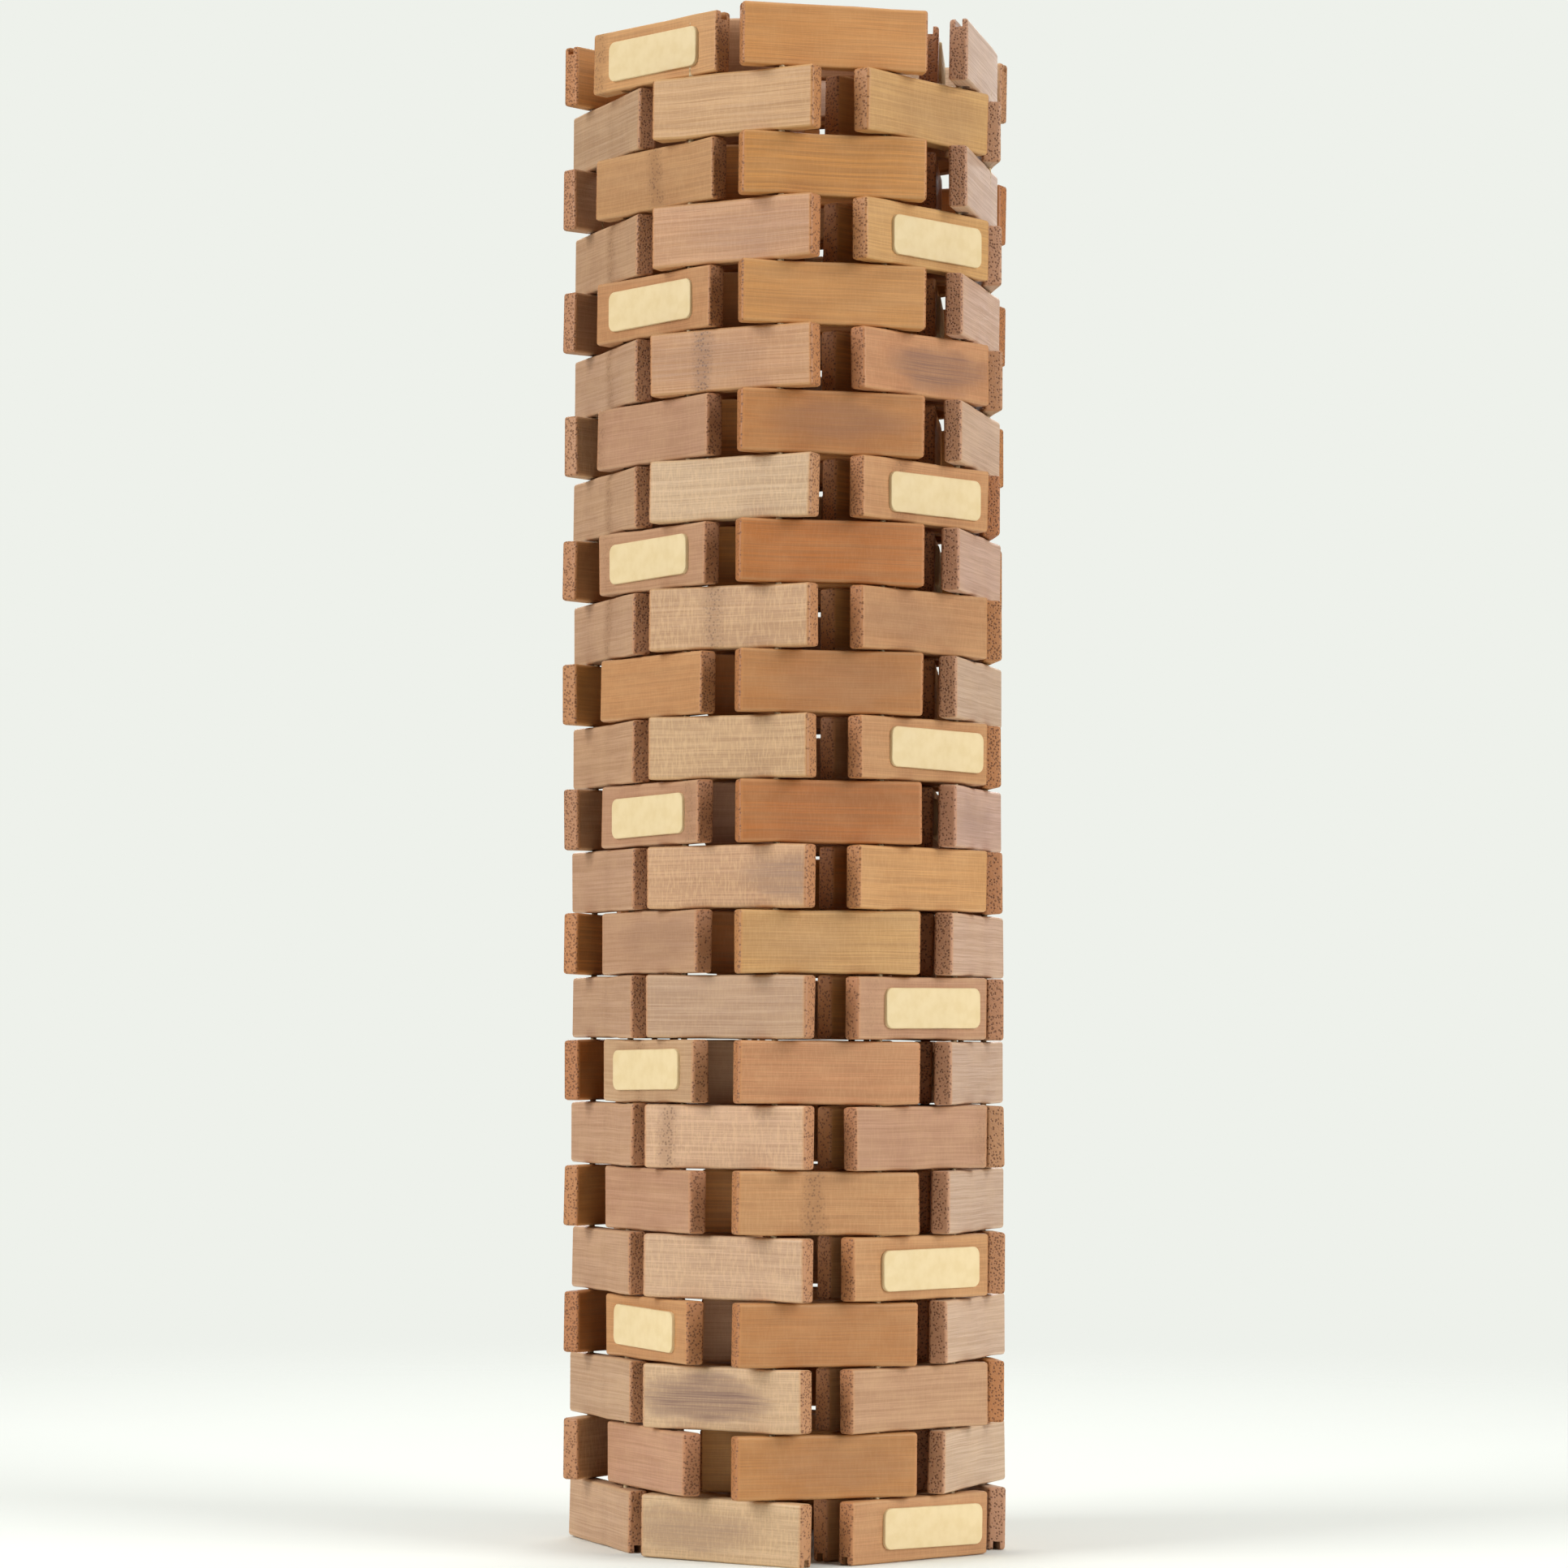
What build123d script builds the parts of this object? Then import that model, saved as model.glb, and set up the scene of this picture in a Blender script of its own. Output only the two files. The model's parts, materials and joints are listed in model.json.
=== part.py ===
from build123d import *
import math
import os
import random

# A bamboo block mat, rolled up and standing on one of its long edges.
# Rows of small bamboo blocks overlap like bricks. One cord runs up and down through
# holes in the blocks, so every second row shares its holes with the rows beside it,
# and the mat bends about each run of cord. Seen from above, the blocks that lie over
# one another in every second row are one "link" of a chain. Link 0 is the loose outer
# end of the roll and link 20 is the free end inside it.
# Millimetres. +Z runs up the roll, along the cord runs. Row 1 is the top row.

os.makedirs("parts", exist_ok=True)

ROW_COUNT = 24
MAT_WIDTH = 400.0
ROW_PITCH = MAT_WIDTH / ROW_COUNT
ROW_GAP = 0.37

BLOCK_LENGTH = 49.0
BLOCK_THICKNESS = 5.0
BLOCK_WIDTH = ROW_PITCH - ROW_GAP
EDGE_RADIUS = 0.8

LINE_SPACING = 27.8
HOLE_RADIUS = 1.3
OVERHANG = (BLOCK_LENGTH - LINE_SPACING) / 2

CORD_RADIUS = 0.8
CORD_TURN_RADIUS = 1.6
GROOVE_WIDTH = 2.0
GROOVE_DEPTH = 2.2
CORD_SET_BACK = 0.1
CORD_JOIN_HEIGHT = 8.0
CORD_JOIN_GAP = 0.1
KNOT_RADIUS = 2.1
KNOT_HEIGHT = 2.8
KNOT_EDGE_RADIUS = 1.2

PAD_LENGTH = 35.0
PAD_WIDTH = 10.5
PAD_THICKNESS = 1.0
PAD_CORNER_RADIUS = 3.0
PAD_EDGE_RADIUS = 0.4
PAD_LINKS = (1, 4, 7, 10, 13, 16, 19)
PAD_ROW_STEP = 4
PAD_DRIFT_ALONG = 0.8
PAD_DRIFT_ACROSS = 0.5
PAD_DRIFT_TURN = 1.2
# The visible pads of link 4 were stuck on nearer to one end of their blocks.
PAD_OFFSETS = {4: 3.4, 7: 0.4}

# Which way the outer end block points, and how far the mat bends at each cord run
# between there and the inner end, in degrees. The roll was made by hand, so the bends
# are uneven: the mat is flattened in places and folds sharply in others.
OUTER_END_HEADING = 181
BENDS = (14, 19, 47, 29, 27, 28, 49, 26, 9, 57, 43, 30, 27, 49, 40, 52, 43, 39, 62, 61, 52, 21)
LINK_COUNT = len(BENDS) - 1


def direction(heading):
    angle = math.radians(heading)
    return Vector(math.cos(angle), math.sin(angle), 0)


def link_headings():
    headings = []
    heading = OUTER_END_HEADING
    for bend in BENDS[:-1]:
        heading -= bend
        headings.append(heading)
    return headings


def chain_from_origin():
    points = [Vector(0, 0, 0)]
    for heading in link_headings():
        points.append(points[-1] - direction(heading) * LINE_SPACING)
    return points


def roll_middle(points, headings):
    # A rounded block reaches EDGE_RADIUS beyond the corners of a box inset by as much.
    half_length = BLOCK_LENGTH / 2 - EDGE_RADIUS
    half_depth = BLOCK_THICKNESS / 2 - EDGE_RADIUS
    corners = []
    for index, heading in enumerate(headings):
        along = direction(heading) * half_length
        across = direction(heading + 90) * half_depth
        middle = (points[index] + points[index + 1]) / 2
        corners += [middle + along + across, middle + along - across]
        corners += [middle - along + across, middle - along - across]
    xs = [corner.X for corner in corners]
    ys = [corner.Y for corner in corners]
    return Vector((min(xs) + max(xs)) / 2, (min(ys) + max(ys)) / 2, 0)


def cord_lines():
    points = chain_from_origin()
    middle = roll_middle(points, link_headings())
    return [point - middle for point in points]


def row_height(row):
    return (ROW_COUNT - row) * ROW_PITCH + BLOCK_WIDTH / 2


def link_location(index):
    points = cord_lines()
    middle = (points[index] + points[index + 1]) / 2
    return Location((middle.X, middle.Y, 0), (0, 0, link_headings()[index]))


def drilled_block(length, hole_offsets):
    block = fillet(Box(length, BLOCK_THICKNESS, BLOCK_WIDTH).edges(), EDGE_RADIUS)
    for offset in hole_offsets:
        block -= Pos(offset, 0, 0) * Cylinder(HOLE_RADIUS, BLOCK_WIDTH)
    return block


def grooved(block, length, side):
    groove = Box(length, GROOVE_WIDTH, GROOVE_DEPTH)
    return block - Pos(0, 0, side * (BLOCK_WIDTH - GROOVE_DEPTH) / 2) * groove


def block_column(length, hole_offsets, first_row):
    plain = drilled_block(length, hole_offsets)
    solids = []
    for row in range(first_row, ROW_COUNT + 1, 2):
        block = plain
        if row == 1:
            block = grooved(plain, length, 1)
        if row == ROW_COUNT:
            block = grooved(plain, length, -1)
        solids += (Pos(0, 0, row_height(row)) * block).solids()
    return Compound(solids)


def link_column(first_row):
    half_spacing = LINE_SPACING / 2
    return block_column(BLOCK_LENGTH, (-half_spacing, half_spacing), first_row)


def cord_along(*points):
    path = FilletPolyline(*points, radius=CORD_TURN_RADIUS)
    start = Plane(origin=path @ 0, z_dir=path % 0)
    return sweep(start * Circle(CORD_RADIUS), path=path)


def cord_bridge():
    # Along the groove of the bottom row, and a little way up both holes.
    side = LINE_SPACING / 2
    low = CORD_SET_BACK + CORD_RADIUS
    return cord_along((-side, 0, CORD_JOIN_HEIGHT), (-side, 0, low), (side, 0, low),
                      (side, 0, CORD_JOIN_HEIGHT))


def cord_loop():
    # Up through all the rows, along the groove of the top row, and down again.
    side = LINE_SPACING / 2
    low = CORD_JOIN_HEIGHT + CORD_JOIN_GAP
    high = row_height(1) + BLOCK_WIDTH / 2 - CORD_SET_BACK - CORD_RADIUS
    return cord_along((-side, 0, low), (-side, 0, high), (side, 0, high), (side, 0, low))


def cord_end_run():
    low = CORD_JOIN_HEIGHT + CORD_JOIN_GAP
    length = row_height(1) + BLOCK_WIDTH / 2 - low
    return Pos(0, 0, low + length / 2) * Cylinder(CORD_RADIUS, length)


def knot():
    bead = Cylinder(KNOT_RADIUS, KNOT_HEIGHT)
    bead = fillet(bead.edges(), KNOT_EDGE_RADIUS)
    return Pos(0, 0, row_height(1) + (BLOCK_WIDTH + KNOT_HEIGHT) / 2) * bead


def pad(offset, height, turn):
    outline = extrude(RectangleRounded(PAD_LENGTH, PAD_WIDTH, PAD_CORNER_RADIUS), PAD_THICKNESS)
    outer_edges = outline.faces().sort_by(Axis.Z)[-1].edges()
    body = fillet(outer_edges, PAD_EDGE_RADIUS)
    on_outer_face = Location((offset, -BLOCK_THICKNESS / 2, height), (90, 0, 0))
    return on_outer_face * Rot(0, 0, turn) * body


def pad_set(index):
    first_row = 1 if index % 2 else PAD_ROW_STEP
    scatter = random.Random(index)
    solids = []
    for row in range(first_row, ROW_COUNT + 1, PAD_ROW_STEP):
        along = PAD_OFFSETS.get(index, 0) + scatter.uniform(-PAD_DRIFT_ALONG, PAD_DRIFT_ALONG)
        across = scatter.uniform(-PAD_DRIFT_ACROSS, PAD_DRIFT_ACROSS)
        turn = scatter.uniform(-PAD_DRIFT_TURN, PAD_DRIFT_TURN)
        solids += pad(along, row_height(row) + across, turn).solids()
    return Compound(solids)


def write_part(name, shape):
    export_step(shape, f"parts/{name}.step")


def write_links():
    columns = {1: link_column(1), 0: link_column(2)}
    cords = {1: cord_loop(), 0: cord_bridge()}
    cord_names = {1: "cord_loop", 0: "cord_bridge"}
    for index in range(LINK_COUNT):
        place = link_location(index)
        parity = index % 2
        write_part(f"slats_{index:02d}", place * columns[parity])
        write_part(f"{cord_names[parity]}_{index:02d}", place * cords[parity])
        if index in PAD_LINKS:
            write_part(f"pads_{index:02d}", place * pad_set(index))


def write_end(name, point, heading):
    place = Location((point.X, point.Y, 0), (0, 0, heading))
    write_part(f"end_slats_{name}", place * block_column(2 * OVERHANG, (0,), 1))
    write_part(f"cord_end_{name}", place * cord_end_run())
    write_part(f"knot_{name}", place * knot())


def main():
    points = cord_lines()
    write_links()
    write_end("outer", points[0], OUTER_END_HEADING)
    write_end("inner", points[-1], link_headings()[-1] - BENDS[-1])


main()
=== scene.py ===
import json
import math
import random

import bpy
from mathutils import Matrix, Vector

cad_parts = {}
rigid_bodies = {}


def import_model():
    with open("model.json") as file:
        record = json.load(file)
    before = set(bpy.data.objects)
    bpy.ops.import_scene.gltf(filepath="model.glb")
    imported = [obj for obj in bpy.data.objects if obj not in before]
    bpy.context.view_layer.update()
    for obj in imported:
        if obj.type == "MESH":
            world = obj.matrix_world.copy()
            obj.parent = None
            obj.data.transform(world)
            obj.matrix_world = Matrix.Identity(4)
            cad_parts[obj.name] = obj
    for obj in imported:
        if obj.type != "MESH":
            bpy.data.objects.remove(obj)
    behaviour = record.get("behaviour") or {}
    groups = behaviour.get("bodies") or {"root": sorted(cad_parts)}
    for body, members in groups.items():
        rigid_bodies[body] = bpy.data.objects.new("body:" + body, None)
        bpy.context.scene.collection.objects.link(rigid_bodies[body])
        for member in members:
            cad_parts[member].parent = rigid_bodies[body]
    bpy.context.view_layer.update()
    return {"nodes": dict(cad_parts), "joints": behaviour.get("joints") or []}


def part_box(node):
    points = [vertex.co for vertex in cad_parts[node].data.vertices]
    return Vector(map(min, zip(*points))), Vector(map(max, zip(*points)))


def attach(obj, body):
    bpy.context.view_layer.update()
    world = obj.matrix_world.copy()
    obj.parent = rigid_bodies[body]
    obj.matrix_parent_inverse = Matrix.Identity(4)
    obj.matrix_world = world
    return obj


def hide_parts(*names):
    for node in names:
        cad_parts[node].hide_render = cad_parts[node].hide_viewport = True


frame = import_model()
bpy.ops.object.select_all(action="DESELECT")
MM = 0.001

# ---------------------------------------------------------------------------
# Bamboo blocks. Strips of bamboo are planed square, cut to length, drilled for the
# cord and tumbled, which eases their edges and leaves them a little uneven. Blocks of
# every second row lie over one another and turn together about the cord.
BLOCK_LENGTH = 49.0
BLOCK_THICKNESS = 5.0
ROW_COUNT = 24
LINE_SPACING = 27.8
OVERHANG = (BLOCK_LENGTH - LINE_SPACING) / 2
ROW_PITCH = 400.0 / ROW_COUNT
BLOCK_WIDTH = ROW_PITCH - 0.37
EDGE_RADIUS = 0.8
HOLE_RADIUS = 1.3
HOLE_SIDES = 8
GROOVE_WIDTH = 2.0
GROOVE_DEPTH = 2.2
LINK_COUNT = 21
# Cuts across a block, which let its outline waver from end to end.
LONG_BLOCK_CUTS = (-15.0, -5.0, 5.0, 15.0)
SHORT_BLOCK_CUTS = (-4.0, 4.0)
# Drills and saws run this much past the block.
CUTTER_MARGIN = 4.0


def body_name(link):
    if link < 0:
        return "outer_end"
    if link >= LINK_COUNT:
        return "inner_end"
    return f"link_{link:02d}"


def cord_line(link):
    # The cord run between this link and the one outside it, and how far it lets them turn.
    pair = {body_name(link), body_name(link - 1)}
    joint = next(j for j in frame["joints"] if {j["parent"], j["child"]} == pair)
    return Vector((joint["pos_m"][0], joint["pos_m"][1], 0)) / MM, joint["range_deg"][1]


LINES = [cord_line(link)[0] for link in range(LINK_COUNT + 1)]
OUTER_TURN = math.radians(cord_line(0)[1])
INNER_TURN = -math.radians(cord_line(LINK_COUNT)[1])

# The roll is a little skewed: some links lean one way at the top of the roll and the
# other way at the bottom. Degrees at the top row, for the links on the open side.
SKEW = {1: 8, 2: -4, 3: 5, 4: 3, 5: -4, 6: 1, 7: 9, 8: 1, 9: -6}
# Loose cord lets the same links lie a degree or two off the line between their holes.
SLACK_TURN = {3: 2, 4: 1, 5: -1, 6: 1, 7: 2, 8: -1, 9: -2}
# Two of them also lean outwards at the top. Millimetres along x at the top row.
LEAN = {7: -1.2, 8: -1.6}


def link_heading(link):
    if link < 0:
        return link_heading(0) + OUTER_TURN
    if link >= LINK_COUNT:
        return link_heading(LINK_COUNT - 1) + INNER_TURN
    along = LINES[link] - LINES[link + 1]
    return math.atan2(along.y, along.x)


def link_middle(link):
    if link < 0:
        return LINES[0]
    if link >= LINK_COUNT:
        return LINES[LINK_COUNT]
    return (LINES[link] + LINES[link + 1]) / 2


def row_height(row):
    return (ROW_COUNT - row) * ROW_PITCH + BLOCK_WIDTH / 2


def row_place(link, row):
    # Where a block of this link and row sits, from its own middle to the roll. The level
    # goes from -1 at the foot of the roll to 1 at its top.
    level = 2 * row_height(row) / (ROW_COUNT * ROW_PITCH) - 1
    turn = SLACK_TURN.get(link, 0) + SKEW.get(link, 0) * level
    heading = link_heading(link) + math.radians(turn)
    lean = LEAN.get(link, 0) * (level + 1) / 2
    middle = link_middle(link) + Vector((lean, 0, row_height(row)))
    return Matrix.Translation(middle) @ Matrix.Rotation(heading, 4, "Z")


def enter_edit():
    # Starts edit mode with every vertex selected.
    bpy.ops.object.mode_set(mode="EDIT")
    bpy.ops.mesh.select_mode(type="VERT")
    bpy.ops.mesh.select_all(action="SELECT")


def leave_edit():
    bpy.ops.object.mode_set(mode="OBJECT")


def select_only(piece):
    bpy.ops.object.select_all(action="DESELECT")
    piece.select_set(True)
    bpy.context.view_layer.objects.active = piece


def apply_place(piece):
    select_only(piece)
    bpy.ops.object.transform_apply(location=True, rotation=True, scale=True)


def apply_modifier(piece, kind, **settings):
    bpy.context.view_layer.objects.active = piece
    modifier = piece.modifiers.new(kind.title(), kind)
    for name, value in settings.items():
        setattr(modifier, name, value)
    bpy.ops.object.modifier_apply(modifier=modifier.name)


def cut_away(piece, cutter):
    apply_place(cutter)
    apply_modifier(piece, "BOOLEAN", operation="DIFFERENCE", solver="EXACT", object=cutter)
    bpy.data.objects.remove(cutter)


def store_places(piece, name):
    # Keeps where each vertex lies in the piece's own frame, for its material to follow.
    places = piece.data.attributes.new(name, "FLOAT_VECTOR", "POINT")
    for vertex, value in zip(piece.data.vertices, places.data):
        value.vector = vertex.co


def model_block(name, length, hole_places, cuts, groove_side):
    # The groove side is 1 for a groove in the top edge, -1 in the bottom edge, 0 for none.
    bpy.ops.mesh.primitive_cube_add(size=1, scale=(length, BLOCK_THICKNESS, BLOCK_WIDTH))
    block = bpy.context.object
    block.name = name
    apply_place(block)
    enter_edit()
    bpy.ops.mesh.bevel(offset=EDGE_RADIUS, segments=2, affect="EDGES")
    for cut in cuts:
        bpy.ops.mesh.select_all(action="SELECT")
        bpy.ops.mesh.bisect(plane_co=(cut, 0, 0), plane_no=(1, 0, 0))
    leave_edit()
    for place in hole_places:
        bpy.ops.mesh.primitive_cylinder_add(
            vertices=HOLE_SIDES, radius=HOLE_RADIUS, depth=BLOCK_WIDTH + CUTTER_MARGIN,
            location=(place, 0, 0))
        cut_away(block, bpy.context.object)
    if groove_side:
        bpy.ops.mesh.primitive_cube_add(
            size=1, location=(0, 0, groove_side * (BLOCK_WIDTH / 2)),
            scale=(length + CUTTER_MARGIN, GROOVE_WIDTH, 2 * GROOVE_DEPTH))
        cut_away(block, bpy.context.object)
    store_places(block, "grain")
    return block


LONG_HOLES = (-LINE_SPACING / 2, LINE_SPACING / 2)
long_blocks = {
    side: model_block(f"long_block_{side}", BLOCK_LENGTH, LONG_HOLES, LONG_BLOCK_CUTS, side)
    for side in (-1, 0, 1)}
short_blocks = {
    side: model_block(f"short_block_{side}", 2 * OVERHANG, (0,), SHORT_BLOCK_CUTS, side)
    for side in (0, 1)}

# Every block was cut from its own stretch of bamboo. Each finish gives a colour, then
# from 0 to 1 how striped, how coarse and how specked it is.
FINISHES = {
    "honey": ("#CB9050", 0.15, 0.15, 0.05),
    "amber": ("#B97A42", 0.25, 0.15, 0.2),
    "striped": ("#D08C48", 0.9, 0.15, 0.0),
    "umber": ("#B56C30", 0.9, 0.15, 0.0),
    "gold": ("#CE9B60", 0.3, 0.3, 0.1),
    "wheat": ("#CB9E74", 0.4, 0.9, 0.1),
    "flaked": ("#D2AD88", 0.3, 0.8, 0.6),
    "tan": ("#C28C5C", 0.3, 0.3, 0.1),
    "dusty": ("#BC9071", 0.25, 0.25, 0.1),
    "pale": ("#C29C7C", 0.35, 0.3, 0.1),
    "rose": ("#D2B19B", 0.25, 0.2, 0.0),
}
# The blocks of each link on the open side of the roll, from its top down.
OPEN_SIDE = {
    3: ["rose"] * 12,
    4: ["gold", "gold", "tan", "tan", "tan", "tan",
        "gold", "dusty", "dusty", "tan", "dusty", "tan"],
    5: ["honey", "striped", "honey", "amber", "umber", "amber",
        "umber", "gold", "tan", "tan", "amber", "amber"],
    6: ["gold", "tan", "tan", "flaked", "wheat", "wheat",
        "wheat", "pale", "flaked", "flaked", "flaked", "flaked"],
    7: ["gold", "tan", "tan", "dusty", "dusty", "tan",
        "dusty", "dusty", "pale", "dusty", "tan", "dusty"],
    8: ["pale"] * 12,
}
# Links inside the roll get the darker finishes: painted shade that keeps the gaps between columns dark.
LAST_OUTER_LINK = 9
PAINTED_SHADE_FINISHES = ["amber", "striped", "umber", "tan", "honey", "dusty"]
# Where a bamboo node crosses a block, in millimetres from its middle, and how dark it is,
# by link and row.
NODES = {
    (4, 8): (-11, 0.4), (4, 16): (-19, 0.2), (4, 18): (22, 0.3),
    (5, 19): (-4, 0.75),
    (6, 6): (-8, 1.0), (6, 10): (-4, 0.7), (6, 18): (-17, 0.8),
    (7, 1): (-22, 0.6), (7, 3): (1, 0.8), (7, 7): (-23, 0.4), (7, 9): (-20, 0.3),
    (7, 13): (20, 0.4), (7, 17): (-4, 0.4),
}
for row in range(2, ROW_COUNT + 1, 2):
    NODES[8, row] = (4, 0.5 if row in (4, 6, 8, 10) else 0.15)
NO_NODE = (99.0, 0)
# Where the middle of a stain lies on its block, and how dark it is, by link and row.
STAINS = {
    (3, 13): (-6, 0.3),
    (4, 2): (4, 0.15), (4, 6): (5, 0.8), (4, 10): (-8, 0.2),
    (5, 7): (2, 0.45), (5, 11): (4, 0.2), (5, 15): (-13, 0.15), (5, 23): (4, 0.2),
    (6, 4): (6, 0.2), (6, 6): (-10, 0.25), (6, 14): (24, 0.6), (6, 22): (-5, 0.95),
    (6, 24): (-8, 0.5),
    (7, 3): (-10, 0.1), (7, 15): (5, 0.2),
}
NO_STAIN = (0, 0)
# How often any other block has a node or a stain.
NODE_CHANCE = 0.25
STAIN_CHANCE = 0.1


def linear(hex_colour):
    # sRGB hex to linear red, green and blue
    channels = [int(hex_colour[i:i + 2], 16) / 255 for i in (1, 3, 5)]
    return [c / 12.92 if c < 0.04045 else ((c + 0.055) / 1.055) ** 2.4 for c in channels]


def block_finish(link, row, chance):
    if link in OPEN_SIDE:
        finish = OPEN_SIDE[link][(row - 1) // 2]
        return finish, NODES.get((link, row), NO_NODE), STAINS.get((link, row), NO_STAIN)
    # Links inside the roll draw from the darker finishes, painted shade for the gaps between columns.
    finish = chance.choice(PAINTED_SHADE_FINISHES if link > LAST_OUTER_LINK else list(FINISHES))
    node_place = chance.uniform(-20, 20) if chance.random() < NODE_CHANCE else None
    stain_dark = 0.35 if chance.random() < STAIN_CHANCE else 0
    node_dark = chance.uniform(0.2, 0.7)
    stain = (chance.uniform(-15, 15), stain_dark)
    return finish, NO_NODE if node_place is None else (node_place, node_dark), stain


def paint_block(block, link, row, chance):
    # Every vertex of a block carries the block's own finish.
    finish, (node_place, node_dark), (stain_place, stain_dark) = block_finish(link, row, chance)
    colour, striped, coarse, specked = FINISHES[finish]
    values = {
        "tone": [c * chance.uniform(0.96, 1.04) for c in linear(colour)],
        "figure": (striped, coarse, specked),
        "marks": (node_place, node_dark, stain_place),
        "cut": (stain_dark, chance.uniform(0, 400), chance.uniform(0, 400)),
    }
    count = len(block.data.vertices)
    for name, value in values.items():
        attribute = block.data.attributes.new(name, "FLOAT_VECTOR", "POINT")
        attribute.data.foreach_set("vector", list(value) * count)


def own_copy(master):
    copy = master.copy()
    copy.data = master.data.copy()
    bpy.context.scene.collection.objects.link(copy)
    return copy


# No two blocks are quite the same size, and each sits a little askew on its cords, in
# degrees.
LENGTH_SPREAD = (0.994, 1.004)
THICKNESS_SPREAD = (0.97, 1.02)
WIDTH_SPREAD = (0.99, 1.0)
TILT_SPREAD = 0.35
TURN_SPREAD = 0.8


def lay_block(master, link, row, chance):
    block = own_copy(master)
    size = [chance.uniform(*spread) for spread in (LENGTH_SPREAD, THICKNESS_SPREAD, WIDTH_SPREAD)]
    tilt = Matrix.Rotation(math.radians(chance.uniform(-TILT_SPREAD, TILT_SPREAD)), 4, "Y")
    turn = Matrix.Rotation(math.radians(chance.uniform(-TURN_SPREAD, TURN_SPREAD)), 4, "Z")
    place = row_place(link, row) @ turn @ tilt @ Matrix.Diagonal((*size, 1))
    block.data.transform(Matrix.Scale(MM, 4) @ place)
    paint_block(block, link, row, chance)
    return block


def join_pieces(pieces, name):
    bpy.ops.object.select_all(action="DESELECT")
    for piece in pieces:
        piece.select_set(True)
    bpy.context.view_layer.objects.active = pieces[0]
    bpy.ops.object.join()
    joined = bpy.context.object
    joined.name = name
    return joined


# Tumbling leaves the faces a few tenths of a millimetre off true. The noise has one
# place for the whole roll, so the faces on both sides of a gap go the same way.
unevenness = bpy.data.textures.new("tumbled_unevenness", "CLOUDS")
unevenness.cloud_type = "COLOR"
unevenness.noise_scale = 11 * MM
unevenness.noise_depth = 1


def finish_column(column):
    apply_modifier(column, "DISPLACE", texture=unevenness, texture_coords="GLOBAL",
                   direction="RGB_TO_XYZ", strength=0.67 * MM, mid_level=0.5)
    select_only(column)
    bpy.ops.object.shade_smooth_by_angle(angle=math.radians(50))
    apply_modifier(column, "WEIGHTED_NORMAL", keep_sharp=True)


def lay_column(link, masters, node):
    chance = random.Random(1000 + link)
    first_row = 1 if link % 2 else 2
    blocks = []
    for row in range(first_row, ROW_COUNT + 1, 2):
        groove_side = {1: 1, ROW_COUNT: -1}.get(row, 0)
        blocks.append(lay_block(masters[groove_side], link, row, chance))
    column = join_pieces(blocks, f"blocks_{body_name(link)}")
    finish_column(column)
    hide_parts(node)
    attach(column, body_name(link))
    return column


columns = [lay_column(link, long_blocks, f"slats_{link:02d}") for link in range(LINK_COUNT)]
columns.append(lay_column(-1, short_blocks, "end_slats_outer"))
columns.append(lay_column(LINK_COUNT, short_blocks, "end_slats_inner"))
for master in [*long_blocks.values(), *short_blocks.values()]:
    bpy.data.objects.remove(master)


def add_node(tree, kind, inputs=None, **settings):
    # Adds a node with its settings and its inputs, which are values or other nodes'
    # outputs, and gives back its own outputs.
    node = tree.nodes.new("ShaderNode" + kind)
    for name, value in settings.items():
        setattr(node, name, value)
    for name, value in (inputs or {}).items():
        if isinstance(value, bpy.types.NodeSocket):
            tree.links.new(value, node.inputs[name])
        else:
            node.inputs[name].default_value = value
    return node.outputs


def new_material(name):
    material = bpy.data.materials.new(name)
    material.use_nodes = True
    return material, material.node_tree, material.node_tree.nodes["Principled BSDF"]


def lay_over(tree, colour, over, pattern, low, high, amount):
    # Lays a second colour over the first as the pattern goes from low to high, up to
    # this amount of it.
    cover = add_node(
        tree, "MapRange", {"Value": pattern, "From Min": low, "From Max": high, "To Max": amount},
        interpolation_type="SMOOTHSTEP")[0]
    return add_node(tree, "Mix", {0: cover, 6: colour, 7: over}, data_type="RGBA")[2]


def finish_with(pieces, material):
    for piece in pieces:
        piece.data.materials.clear()
        piece.data.materials.append(material)


# Planed and tumbled bamboo, left without lacquer. Long fibres give fine streaks along
# the block, cut fibre bundles give dark dots on its ends, and the eased edges carry a painted highlight.
bamboo, bamboo_tree, bamboo_shader = new_material("tumbled_bamboo")
grain = add_node(bamboo_tree, "Attribute", attribute_name="grain")["Vector"]
tone = add_node(bamboo_tree, "Attribute", attribute_name="tone")["Vector"]
figure = add_node(bamboo_tree, "Attribute", attribute_name="figure")["Vector"]
marks = add_node(bamboo_tree, "Attribute", attribute_name="marks")["Vector"]
cut = add_node(bamboo_tree, "Attribute", attribute_name="cut")["Vector"]
along, depth, across = add_node(bamboo_tree, "SeparateXYZ", {0: grain})
striped, coarse, specked = add_node(bamboo_tree, "SeparateXYZ", {0: figure})
node_place, node_dark, stain_place = add_node(bamboo_tree, "SeparateXYZ", {0: marks})
stain_dark, cut_along, cut_depth = add_node(bamboo_tree, "SeparateXYZ", {0: cut})


def fibre_noise(along_mm, across_mm, detail, offset=0.0):
    # Noise that is stretched along the block, with features of these sizes. Each block
    # was cut from its own place in it.
    steps = ((along, along_mm, cut_along), (depth, across_mm, cut_depth), (across, across_mm, offset))
    place = [
        add_node(bamboo_tree, "Math", {0: way, 1: 1 / size, 2: start}, operation="MULTIPLY_ADD")[0]
        for way, size, start in steps]
    point = add_node(bamboo_tree, "CombineXYZ", dict(enumerate(place)))[0]
    return add_node(bamboo_tree, "TexNoise", {
        "Vector": point, "Scale": 1.0, "Detail": detail, "Roughness": 0.55})[0]


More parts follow.
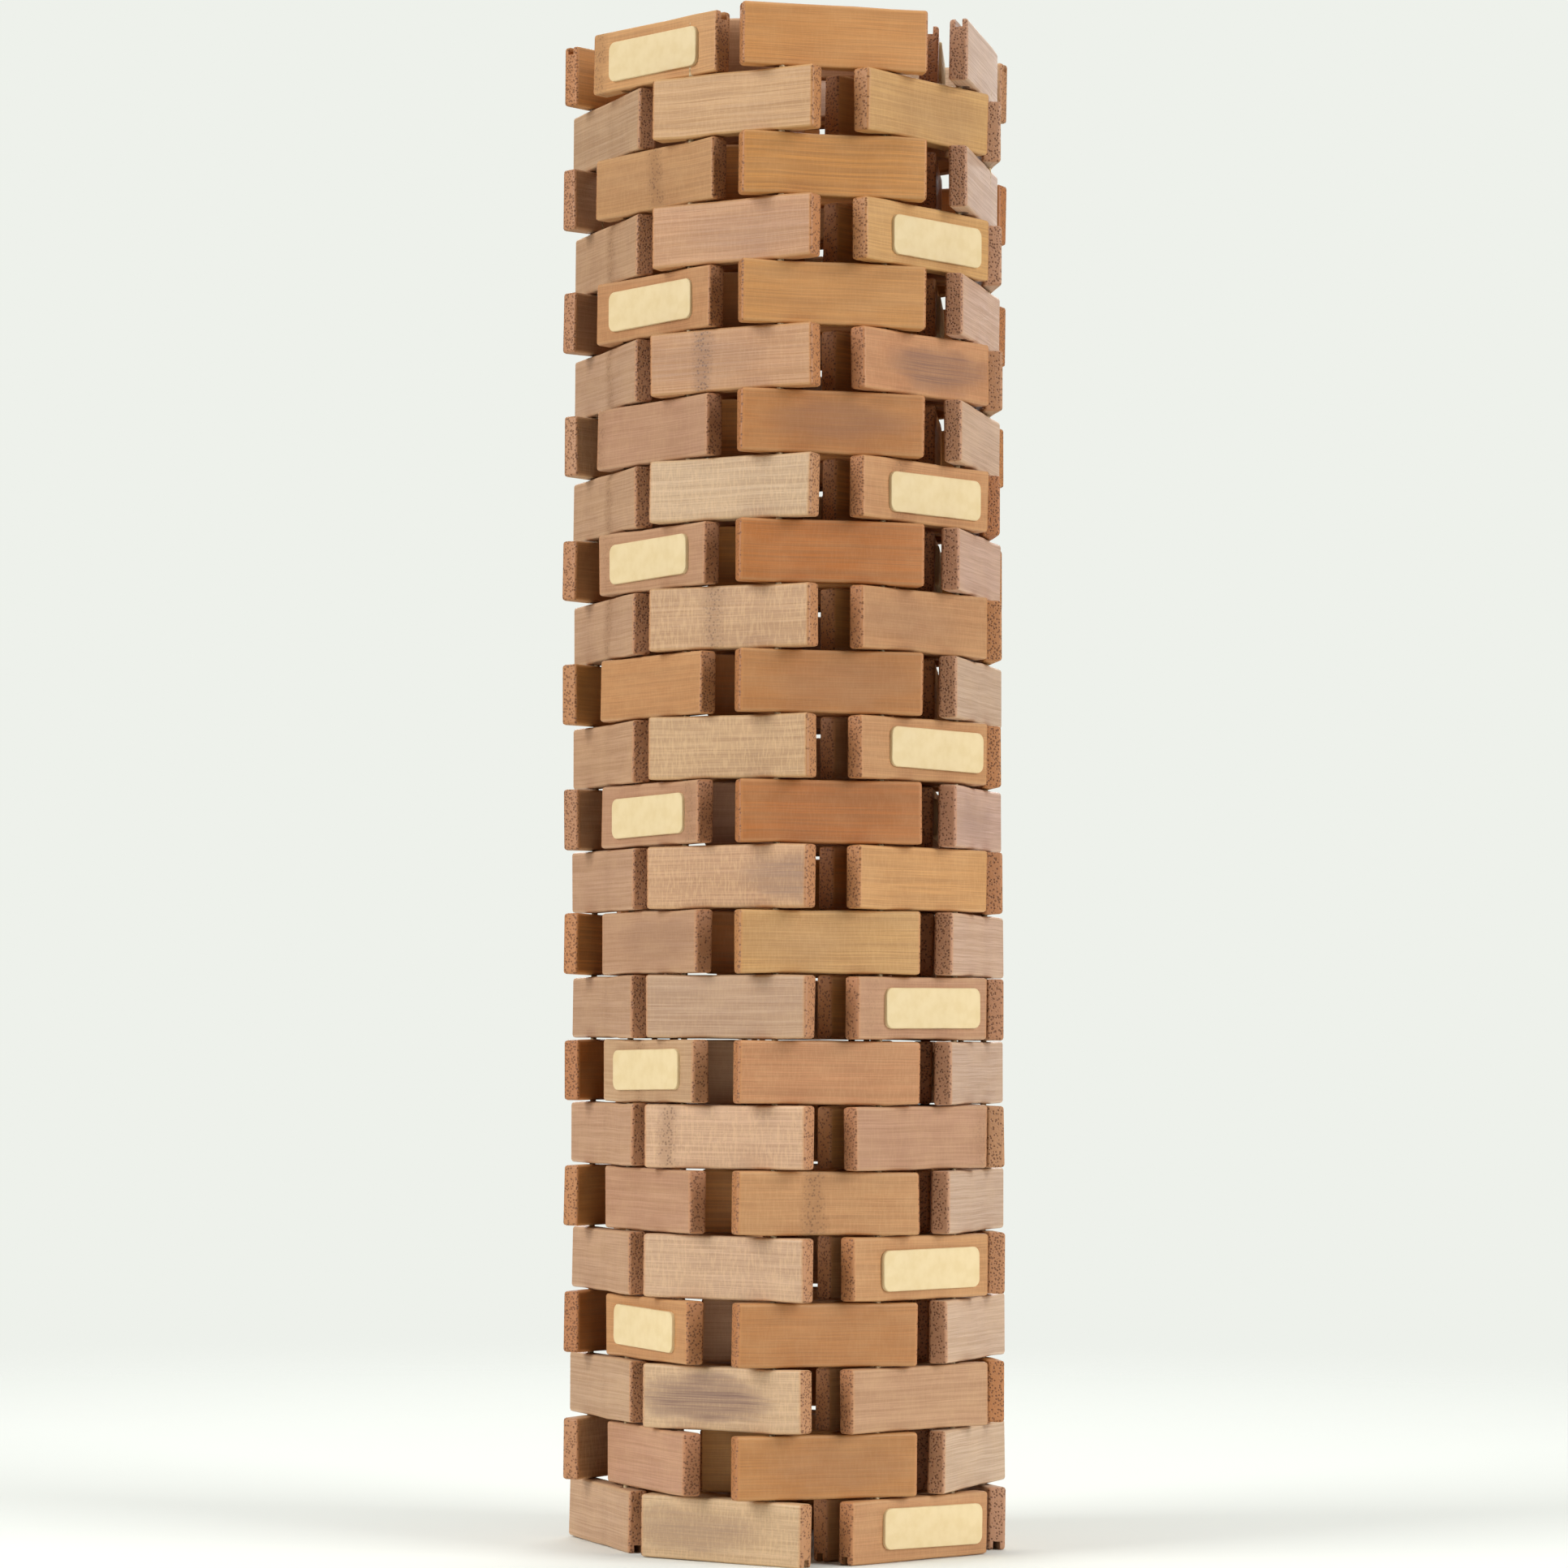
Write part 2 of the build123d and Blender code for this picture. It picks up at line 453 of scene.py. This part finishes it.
fibres = fibre_noise(34, 0.4, 3)
hairs = fibre_noise(15, 0.18, 2, 20)
bands = fibre_noise(220, 0.75, 2, 40)
clouding = fibre_noise(14, 7, 2, 80)
pores = fibre_noise(1.6, 0.3, 1, 120)
ribs = fibre_noise(0.55, 3.0, 2, 160)
flecks = fibre_noise(0.9, 0.5, 2, 200)

FIBRE_BROWN = (*linear("#895D34"), 1)
# A paler straw for the clouding and ribs of the grain, also used for the painted highlight on the eased
# edges.
STRAW_AND_EDGE_HIGHLIGHT = (*linear("#F3CB95"), 1)
shade = add_node(bamboo_tree, "Mix", {0: 0.62, 6: tone, 7: FIBRE_BROWN}, data_type="RGBA")[2]
light = add_node(bamboo_tree, "Mix", {0: 0.4, 6: tone, 7: STRAW_AND_EDGE_HIGHLIGHT}, data_type="RGBA")[2]
stripe_depth = add_node(
    bamboo_tree, "Math", {0: striped, 1: 0.62, 2: 0.08}, operation="MULTIPLY_ADD")[0]
rib_depth = add_node(bamboo_tree, "Math", {0: coarse, 1: 0.5}, operation="MULTIPLY")[0]
fleck_depth = add_node(bamboo_tree, "Math", {0: specked, 1: 0.55}, operation="MULTIPLY")[0]
colour = lay_over(bamboo_tree, tone, shade, fibres, 0.42, 0.62, 0.45)
colour = lay_over(bamboo_tree, colour, shade, hairs, 0.45, 0.6, 0.34)
colour = lay_over(bamboo_tree, colour, shade, bands, 0.46, 0.58, stripe_depth)
colour = lay_over(bamboo_tree, colour, light, clouding, 0.35, 0.75, 0.2)
colour = lay_over(bamboo_tree, colour, shade, pores, 0.66, 0.76, 0.3)
colour = lay_over(bamboo_tree, colour, light, ribs, 0.45, 0.65, rib_depth)
colour = lay_over(bamboo_tree, colour, shade, flecks, 0.6, 0.72, fleck_depth)

# A node is a wavering band across the block, where the fibres part around small dark
# knots.
KNOT_BROWN = (*linear("#613F27"), 1)
waver = add_node(bamboo_tree, "Math", {0: clouding, 1: 5.0, 2: -2.5}, operation="MULTIPLY_ADD")[0]
wavering = add_node(bamboo_tree, "Math", {0: along, 1: waver}, operation="ADD")[0]
off_node = add_node(bamboo_tree, "Math", {0: wavering, 1: node_place}, operation="SUBTRACT")[0]
from_node = add_node(bamboo_tree, "Math", {0: off_node}, operation="ABSOLUTE")[0]
node_band = add_node(
    bamboo_tree, "MapRange",
    {"Value": from_node, "From Min": 4.2, "From Max": 0.4, "To Max": node_dark},
    interpolation_type="SMOOTHSTEP")[0]
band_depth = add_node(bamboo_tree, "Math", {0: node_band, 1: 0.8}, operation="MULTIPLY")[0]
knot_depth = add_node(bamboo_tree, "Math", {0: node_band, 1: 0.75}, operation="MULTIPLY")[0]
from_knot = add_node(bamboo_tree, "TexVoronoi", {
    "Vector": grain, "Scale": 1.25, "Randomness": 1.0}, feature="F1")["Distance"]
colour = add_node(bamboo_tree, "Mix", {0: band_depth, 6: colour, 7: shade}, data_type="RGBA")[2]
colour = lay_over(bamboo_tree, colour, KNOT_BROWN, from_knot, 0.5, 0.2, knot_depth)

# A stain is a long lens of grey brown that follows the fibres, at its half length and
# half width in millimetres.
STAIN_BROWN = (*linear("#7C5B4D"), 1)
STAIN_REACH = (18.0, 5.2, 1.0)
off_stain = add_node(bamboo_tree, "Math", {0: along, 1: stain_place}, operation="SUBTRACT")[0]
stain_middle = add_node(bamboo_tree, "Math", {0: across, 1: 3.5}, operation="SUBTRACT")[0]
off_middle = add_node(
    bamboo_tree, "Math", {0: clouding, 1: 7.0, 2: stain_middle}, operation="MULTIPLY_ADD")[0]
in_stain = add_node(bamboo_tree, "CombineXYZ", {0: off_stain, 1: off_middle})[0]
in_stain = add_node(bamboo_tree, "VectorMath", {0: in_stain, 1: STAIN_REACH}, operation="DIVIDE")[0]
spread = add_node(
    bamboo_tree, "VectorMath", {0: in_stain, 1: in_stain}, operation="DOT_PRODUCT")["Value"]
ragged_spread = add_node(bamboo_tree, "Math", {0: bands, 1: 0.9, 2: spread}, operation="MULTIPLY_ADD")[0]
soaked = add_node(
    bamboo_tree, "MapRange",
    {"Value": fibres, "From Min": 0.3, "From Max": 0.7, "To Min": 1.0, "To Max": 0.4},
    interpolation_type="SMOOTHSTEP")[0]
stain_depth = add_node(bamboo_tree, "Math", {0: stain_dark, 1: soaked}, operation="MULTIPLY")[0]
colour = lay_over(bamboo_tree, colour, STAIN_BROWN, ragged_spread, 2.2, 0.7, stain_depth)

# Eased edges get a painted highlight: paler along the rounded edges, where they catch the light.
from_centre_line = add_node(bamboo_tree, "Math", {0: across}, operation="ABSOLUTE")[0]
from_centre_plane = add_node(bamboo_tree, "Math", {0: depth}, operation="ABSOLUTE")[0]
painted_edge_highlight = add_node(
    bamboo_tree, "MapRange",
    {"Value": from_centre_plane, "From Min": 1.6, "From Max": 2.3, "To Max": 0.35},
    interpolation_type="SMOOTHSTEP")[0]
colour = lay_over(bamboo_tree, colour, light, from_centre_line, 6.9, 7.9, painted_edge_highlight)

# End grain: fibre bundles about 0.7 mm apart, nearly touching, inside a darker rim.
END_GRAIN = (*linear("#B3774B"), 1)
BUNDLE_BROWN = (*linear("#653C22"), 1)
END_RIM = (*linear("#CE8E55"), 1)
BUNDLE_SPACING = 0.72
bundle_depth = add_node(
    bamboo_tree, "Math", {0: depth, 1: 1 / BUNDLE_SPACING, 2: cut_depth}, operation="MULTIPLY_ADD")[0]
bundle_across = add_node(
    bamboo_tree, "Math", {0: across, 1: 1 / BUNDLE_SPACING}, operation="MULTIPLY")[0]
bundle_place = add_node(bamboo_tree, "CombineXYZ", {0: cut_along, 1: bundle_depth, 2: bundle_across})[0]
from_bundle = add_node(bamboo_tree, "TexVoronoi", {
    "Vector": bundle_place, "Scale": 1.0, "Randomness": 0.85}, feature="F1")["Distance"]
bundle = add_node(
    bamboo_tree, "MapRange", {"Value": from_bundle, "From Min": 0.48, "From Max": 0.22},
    interpolation_type="SMOOTHSTEP")[0]
bundle_cover = add_node(bamboo_tree, "Math", {0: bundle, 1: 0.75}, operation="MULTIPLY")[0]
end_colour = add_node(bamboo_tree, "Mix", {0: 0.75, 6: tone, 7: END_GRAIN}, data_type="RGBA")[2]
end_colour = add_node(
    bamboo_tree, "Mix", {0: bundle_cover, 6: end_colour, 7: BUNDLE_BROWN}, data_type="RGBA")[2]
from_middle = add_node(bamboo_tree, "Math", {0: along}, operation="ABSOLUTE")[0]
end_face = add_node(
    bamboo_tree, "MapRange",
    {"Value": from_middle, "From Min": BLOCK_LENGTH / 2 - 0.75, "From Max": BLOCK_LENGTH / 2 - 0.3},
    interpolation_type="SMOOTHSTEP")[0]
colour = lay_over(
    bamboo_tree, colour, END_RIM, from_middle, BLOCK_LENGTH / 2 - 1.3, BLOCK_LENGTH / 2 - 0.7, 0.3)
colour = add_node(bamboo_tree, "Mix", {0: end_face, 6: colour, 7: end_colour}, data_type="RGBA")[2]

# Fibres, hairs and ribs stand up a little, and bundles are sunk in the end faces.
rib_height = add_node(bamboo_tree, "Math", {0: coarse, 1: 1.2}, operation="MULTIPLY")[0]
relief = add_node(bamboo_tree, "Math", {0: ribs, 1: rib_height}, operation="MULTIPLY")[0]
relief = add_node(bamboo_tree, "Math", {0: fibres, 1: 0.5, 2: relief}, operation="MULTIPLY_ADD")[0]
relief = add_node(bamboo_tree, "Math", {0: hairs, 1: 0.3, 2: relief}, operation="MULTIPLY_ADD")[0]
end_sink = add_node(bamboo_tree, "Math", {0: end_face, 1: -1.2}, operation="MULTIPLY")[0]
relief = add_node(bamboo_tree, "Math", {0: bundle, 1: end_sink, 2: relief}, operation="MULTIPLY_ADD")[0]
bamboo_bump = add_node(
    bamboo_tree, "Bump", {"Height": relief, "Strength": 0.8, "Distance": 0.12 * MM})[0]
sheen_loss = add_node(
    bamboo_tree, "MapRange",
    {"Value": fibres, "From Min": 0.2, "From Max": 0.8, "To Min": 0.42, "To Max": 0.56},
    interpolation_type="SMOOTHSTEP")[0]
bamboo_tree.links.new(colour, bamboo_shader.inputs["Base Color"])
bamboo_tree.links.new(bamboo_bump, bamboo_shader.inputs["Normal"])
bamboo_tree.links.new(sheen_loss, bamboo_shader.inputs["Roughness"])
finish_with(columns, bamboo)

# ---------------------------------------------------------------------------
# Anti-slip pads. Rounded oblongs die-cut from a millimetre of pale yellow foam rubber,
# stuck by hand on the underside of every fourth row of every third link.
PAD_LENGTH = 35.0
PAD_WIDTH = 10.5
PAD_THICKNESS = 1.0
PAD_CORNER = 2.2
PAD_EDGE_RADIUS = 0.3
PAD_LINKS = (1, 4, 7, 10, 13, 16, 19)
# The pads of link 4 are stuck nearer to one end of their blocks.
PAD_OFFSETS = {4: 3.4, 7: 0.4}
# How far a pad may sit off its place along and across the block, and how far it may be
# turned, in degrees. The glue lets it sink this far below the planed face.
PAD_DRIFT_ALONG = 0.8
PAD_DRIFT_ACROSS = 0.5
PAD_DRIFT_TURN = 1.2
PAD_SINK = 0.1


def model_pad():
    # An oblong with rounded corners, thickened, its front edge softened, stood upright.
    bpy.ops.mesh.primitive_plane_add(size=1)
    pad = bpy.context.object
    pad.scale = (PAD_LENGTH, PAD_WIDTH, 1)
    apply_place(pad)
    enter_edit()
    bpy.ops.mesh.bevel(offset=PAD_CORNER, segments=5, affect="VERTICES")
    bpy.ops.mesh.extrude_region_move(TRANSFORM_OT_translate={"value": (0, 0, PAD_THICKNESS)})
    bpy.ops.mesh.bevel(offset=PAD_EDGE_RADIUS, segments=3, affect="EDGES")
    bpy.ops.mesh.select_all(action="SELECT")
    bpy.ops.mesh.normals_make_consistent(inside=False)
    leave_edit()
    pad.rotation_euler = (math.radians(90), 0, 0)
    apply_place(pad)
    store_places(pad, "sheet_place")
    return pad


def lay_pads(link, master):
    chance = random.Random(link)
    first_row = 1 if link % 2 else 4
    pads = []
    for row in range(first_row, ROW_COUNT + 1, 4):
        pad = own_copy(master)
        aside = PAD_OFFSETS.get(link, 0) + chance.uniform(-PAD_DRIFT_ALONG, PAD_DRIFT_ALONG)
        off = Vector((aside, PAD_SINK - BLOCK_THICKNESS / 2,
                      chance.uniform(-PAD_DRIFT_ACROSS, PAD_DRIFT_ACROSS)))
        turned = math.radians(chance.uniform(-PAD_DRIFT_TURN, PAD_DRIFT_TURN))
        place = row_place(link, row) @ Matrix.Translation(off) @ Matrix.Rotation(turned, 4, "Y")
        pad.data.transform(Matrix.Scale(MM, 4) @ place)
        pads.append(pad)
    joined = join_pieces(pads, f"pads_{body_name(link)}")
    bpy.ops.object.shade_smooth_by_angle(angle=math.radians(40))
    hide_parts(f"pads_{link:02d}")
    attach(joined, body_name(link))
    return joined


pad_master = model_pad()
pads = [lay_pads(link, pad_master) for link in PAD_LINKS]
bpy.data.objects.remove(pad_master)

# Foam rubber sheet, skived smooth. Fine pores mottle it and its skin is dull.
PALE_YELLOW = (*linear("#E9D2A4"), 1)
MOTTLED_YELLOW = (*linear("#E3CA98"), 1)
rubber, rubber_tree, rubber_shader = new_material("foam_rubber_sheet")
sheet_place = add_node(rubber_tree, "Attribute", attribute_name="sheet_place")["Vector"]
mottle = add_node(rubber_tree, "TexNoise", {"Vector": sheet_place, "Scale": 0.35, "Detail": 3.0})[0]
foam_pores = add_node(rubber_tree, "TexNoise", {"Vector": sheet_place, "Scale": 3.0, "Detail": 2.0})[0]
rubber_colour = lay_over(rubber_tree, PALE_YELLOW, MOTTLED_YELLOW, mottle, 0.3, 0.75, 1.0)
rubber_bump = add_node(
    rubber_tree, "Bump", {"Height": foam_pores, "Strength": 0.15, "Distance": 0.05 * MM})[0]
rubber_tree.links.new(rubber_colour, rubber_shader.inputs["Base Color"])
rubber_tree.links.new(rubber_bump, rubber_shader.inputs["Normal"])
rubber_shader.inputs["Roughness"].default_value = 0.62
finish_with(pads, rubber)

# ---------------------------------------------------------------------------
# Cord and knots. One braided cotton cord runs down and up through every hole, lies in
# the grooves of the top and bottom rows, and is knotted at both of its ends.
KNOT_CORD_RADIUS = 0.5
KNOT_POINTS = 24
# Millimetres. The knot's loops reach three times its size from its middle.
KNOT_SIZE = 0.46
KNOT_RISE = 0.62

# Braided cotton, not waxed: slanting strands, painted paler where they stand up and with painted shade
# between them, and no shine.
STRAND_SHADE = (*linear("#A88A62"), 1)
STRAND_CREST = (*linear("#D9C39B"), 1)
braid, braid_tree, braid_shader = new_material("braided_cotton_cord")
cord_place = add_node(braid_tree, "TexCoord")["Object"]
strands = add_node(
    braid_tree, "TexWave",
    {"Vector": cord_place, "Scale": 420.0, "Distortion": 2.0, "Detail": 1.0},
    wave_type="BANDS", bands_direction="DIAGONAL")["Fac"]
cord_colour = add_node(
    braid_tree, "Mix", {0: strands, 6: STRAND_SHADE, 7: STRAND_CREST}, data_type="RGBA")[2]
cord_bump = add_node(
    braid_tree, "Bump", {"Height": strands, "Strength": 0.6, "Distance": 0.15 * MM})[0]
braid_tree.links.new(cord_colour, braid_shader.inputs["Base Color"])
braid_tree.links.new(cord_bump, braid_shader.inputs["Normal"])
braid_shader.inputs["Roughness"].default_value = 0.85
finish_with([node for name, node in frame["nodes"].items() if name.startswith("cord")], braid)


def tie_knot(node, body):
    # An overhand knot, pulled tight: a cord that crosses itself three times.
    low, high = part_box(node)
    middle = (low + high) / 2
    curve = bpy.data.curves.new(f"tied_{node}", "CURVE")
    curve.dimensions = "3D"
    curve.bevel_depth = KNOT_CORD_RADIUS * MM
    curve.bevel_resolution = 3
    spline = curve.splines.new("NURBS")
    spline.points.add(KNOT_POINTS - 1)
    for step, point in enumerate(spline.points):
        t = 2 * math.pi * step / KNOT_POINTS
        x = (math.sin(t) + 2 * math.sin(2 * t)) * KNOT_SIZE
        y = (math.cos(t) - 2 * math.cos(2 * t)) * KNOT_SIZE
        z = -math.sin(3 * t) * KNOT_RISE
        point.co = (middle.x + x * MM, middle.y + y * MM, middle.z + z * MM, 1)
    spline.use_cyclic_u = True
    spline.order_u = 4
    knot = bpy.data.objects.new(f"tied_{node}", curve)
    bpy.context.scene.collection.objects.link(knot)
    select_only(knot)
    bpy.ops.object.convert(target="MESH")
    knot = bpy.context.object
    knot.data.materials.append(braid)
    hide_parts(node)
    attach(knot, body)


tie_knot("knot_outer", "outer_end")
tie_knot("knot_inner", "inner_end")

# ---------------------------------------------------------------------------
# Studio. Matt pale paper on the floor that fades into a surround of its own colour, two
# tall soft boxes at the sides and weaker ones above and behind, so gaps between the
# blocks stay dark. Metres.
BACKDROP = (*linear("#EEF1EB"), 1)
FLOOR_RADIUS = 1.2
# The paper is whole as far as the first distance and has faded out at the second.
PAPER_FADE = (0.3, 0.95)

bpy.ops.mesh.primitive_circle_add(vertices=48, radius=FLOOR_RADIUS, fill_type="NGON")
floor = bpy.context.object
floor.name = "studio_floor"
enter_edit()
bpy.ops.mesh.select_mode(type="FACE")
bpy.ops.mesh.inset(thickness=FLOOR_RADIUS / 2)
leave_edit()
# Matt uncoated paper: no shine, and a faint tooth.
paper, paper_tree, paper_shader = new_material("matt_background_paper")
paper_place = add_node(paper_tree, "TexCoord")["Object"]
tooth = add_node(paper_tree, "TexNoise", {"Vector": paper_place, "Scale": 900.0, "Detail": 2.0})[0]
paper_bump = add_node(paper_tree, "Bump", {"Height": tooth, "Strength": 0.05, "Distance": 0.1 * MM})[0]
reach = add_node(paper_tree, "VectorMath", {0: paper_place}, operation="LENGTH")["Value"]
paper_left = add_node(
    paper_tree, "MapRange", {"Value": reach, "From Min": PAPER_FADE[1], "From Max": PAPER_FADE[0]},
    interpolation_type="SMOOTHSTEP")[0]
paper_shader.inputs["Base Color"].default_value = BACKDROP
paper_shader.inputs["Roughness"].default_value = 0.95
paper_shader.inputs["Specular IOR Level"].default_value = 0.1
paper_tree.links.new(paper_bump, paper_shader.inputs["Normal"])
paper_tree.links.new(paper_left, paper_shader.inputs["Alpha"])
floor.data.materials.append(paper)


def soft_light(name, place, size, power, aim=(0, 0, 0.2)):
    lamp = bpy.data.lights.new(name, "AREA")
    lamp.shape = "RECTANGLE"
    lamp.size, lamp.size_y = size
    lamp.energy = power
    light_object = bpy.data.objects.new(name, lamp)
    light_object.location = place
    light_object.rotation_euler = (Vector(aim) - Vector(place)).to_track_quat("-Z", "Y").to_euler()
    bpy.context.scene.collection.objects.link(light_object)


soft_light("left_box", (-1.28, -0.7, 0.8), (0.8, 1.1), 20.5)
soft_light("right_box", (1.25, -0.72, 0.7), (0.8, 1.1), 19.0)
soft_light("back_box", (0, 1.6, 0.9), (1.4, 0.8), 16.0)
soft_light("top_box", (0, 0.0, 2.0), (1.6, 1.6), 14.5, aim=(0, 0.1, 0))

# The surround is seen at full strength but lights the roll only a little.
SURROUND_SEEN = 1.0
SURROUND_LIGHT = 0.1
world = bpy.data.worlds.new("pale_surround")
bpy.context.scene.world = world
world.use_nodes = True
surround = world.node_tree.nodes["Background"]
surround.inputs["Color"].default_value = BACKDROP
seen = add_node(world.node_tree, "LightPath")["Is Camera Ray"]
surround_strength = add_node(
    world.node_tree, "MapRange", {"Value": seen, "To Min": SURROUND_LIGHT, "To Max": SURROUND_SEEN})[0]
world.node_tree.links.new(surround_strength, surround.inputs["Strength"])
bpy.context.scene.view_settings.view_transform = "Standard"

# The camera stands back from the roll and a little below its middle, with a long lens,
# turned up slightly, so the roll fills the frame from bottom to top. Millimetres and
# degrees.
CAMERA_PLACE = Vector((10.6, -1330.7, 131.2))
CAMERA_PITCH = 3.0
CAMERA_YAW = 0.47
CAMERA_ROLL = 0.41
camera_data = bpy.data.cameras.new("camera")
camera_data.sensor_width = 36.0
camera_data.lens = 115.3
camera_data.clip_end = 50
camera = bpy.data.objects.new("camera", camera_data)
camera.matrix_world = (
    Matrix.Translation(CAMERA_PLACE * MM)
    @ Matrix.Rotation(math.radians(CAMERA_YAW), 4, "Z")
    @ Matrix.Rotation(math.radians(90 + CAMERA_PITCH), 4, "X")
    @ Matrix.Rotation(math.radians(CAMERA_ROLL), 4, "Z"))
bpy.context.scene.collection.objects.link(camera)
bpy.context.scene.camera = camera
